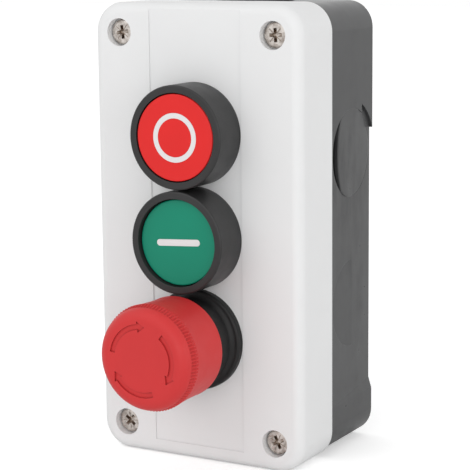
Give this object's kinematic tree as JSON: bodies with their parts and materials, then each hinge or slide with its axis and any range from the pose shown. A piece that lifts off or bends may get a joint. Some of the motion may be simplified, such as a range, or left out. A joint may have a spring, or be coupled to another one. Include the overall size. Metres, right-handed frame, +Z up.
{
  "type": "pushbutton control station",
  "caption": "Surface mounted pushbutton box: light cover on a dark base, flush red stop and green start buttons over a twist-release mushroom emergency stop.",
  "frame": {"origin": "centre of the flat back of the box, where it lies on the wall", "axes": "+Z up along the row of buttons, +X to the right seen from the front, the buttons face -Y and +Y points into the wall"},
  "size_m": [0.068, 0.0786, 0.134],
  "materials": {
    "cover_plastic": "light grey, softly glossy moulded cover",
    "base_plastic": "dark grey moulded box, fine matt grain",
    "black_plastic": "black, satin moulded bezels and collar",
    "red_plastic": "red, softly glossy",
    "green_plastic": "green, softly glossy",
    "white_inlay": "white symbol, moulded in",
    "seal_rubber": "black soft seal",
    "screw_steel": "nickel plated steel",
    "spring_steel": "bright spring wire",
    "contact_brass": "bright brass",
    "block_plastic": "dark moulded contact blocks and nuts",
    "carrier_plastic": "off-white moulded sliders"
  },
  "bodies": {
    "root": {"front_cover": "cover_plastic", "rear_box": "base_plastic", "cover_gasket": "seal_rubber", "cover_screws": "screw_steel", "stop_bezel": "black_plastic", "stop_spring": "spring_steel", "stop_gasket": "seal_rubber", "stop_nut": "block_plastic", "start_bezel": "black_plastic", "start_spring": "spring_steel", "start_gasket": "seal_rubber", "start_nut": "block_plastic", "estop_collar": "black_plastic", "estop_spring": "spring_steel", "estop_latch_ring": "spring_steel", "estop_gasket": "seal_rubber", "estop_nut": "block_plastic", "stop_block_foot": "block_plastic", "stop_block_body": "block_plastic", "stop_fixed_contacts": "contact_brass", "stop_contact_spring": "spring_steel", "start_block_foot": "block_plastic", "start_block_body": "block_plastic", "start_fixed_contacts": "contact_brass", "start_contact_spring": "spring_steel", "estop_block_foot": "block_plastic", "estop_block_body": "block_plastic", "estop_fixed_contacts": "contact_brass", "estop_contact_spring": "spring_steel", "terminal_screws": "screw_steel", "block_screws": "screw_steel"},
    "stop_button": {"stop_cap": "red_plastic", "stop_symbol": "white_inlay", "stop_plunger": "carrier_plastic"},
    "start_button": {"start_cap": "green_plastic", "start_symbol": "white_inlay", "start_plunger": "carrier_plastic"},
    "estop_slider": {"estop_stem": "carrier_plastic"},
    "estop_knob": {"estop_head": "red_plastic"},
    "stop_contact": {"stop_carrier": "carrier_plastic", "stop_bridge": "contact_brass"},
    "start_contact": {"start_carrier": "carrier_plastic", "start_bridge": "contact_brass"},
    "estop_contact": {"estop_carrier": "carrier_plastic", "estop_bridge": "contact_brass"}
  },
  "joints": [
    {"name": "stop_press", "type": "slide", "parent": "root", "child": "stop_button", "axis": [0, 1, 0], "range_m": [0, 0.0043], "stiffness_N_per_m": 700, "springref_m": -0.002, "deforming": ["stop_spring"]},
    {"name": "start_press", "type": "slide", "parent": "root", "child": "start_button", "axis": [0, 1, 0], "range_m": [0, 0.0043], "stiffness_N_per_m": 700, "springref_m": -0.002, "deforming": ["start_spring"]},
    {"name": "estop_press", "type": "slide", "parent": "root", "child": "estop_slider", "axis": [0, 1, 0], "range_m": [0, 0.005], "deforming": ["estop_spring"]},
    {"name": "estop_twist", "type": "hinge", "parent": "estop_slider", "child": "estop_knob", "pos_m": [0, -0.04775, -0.03], "axis": [0, 1, 0], "range_deg": [0, 45], "stiffness_Nm_per_rad": 0.05, "springref_deg": -5.73},
    {"name": "stop_contact_slide", "type": "slide", "parent": "root", "child": "stop_contact", "axis": [0, 1, 0], "range_m": [0, 0.0043], "deforming": ["stop_contact_spring"]},
    {"name": "start_contact_slide", "type": "slide", "parent": "root", "child": "start_contact", "axis": [0, 1, 0], "range_m": [0, 0.0043], "deforming": ["start_contact_spring"]},
    {"name": "estop_contact_slide", "type": "slide", "parent": "root", "child": "estop_contact", "axis": [0, 1, 0], "range_m": [0, 0.005], "deforming": ["estop_contact_spring"]}
  ],
  "couplings": [
    {"joint": "stop_contact_slide", "follows": "stop_press", "ratio": 1},
    {"joint": "start_contact_slide", "follows": "start_press", "ratio": 1},
    {"joint": "estop_contact_slide", "follows": "estop_press", "ratio": 1}
  ]
}
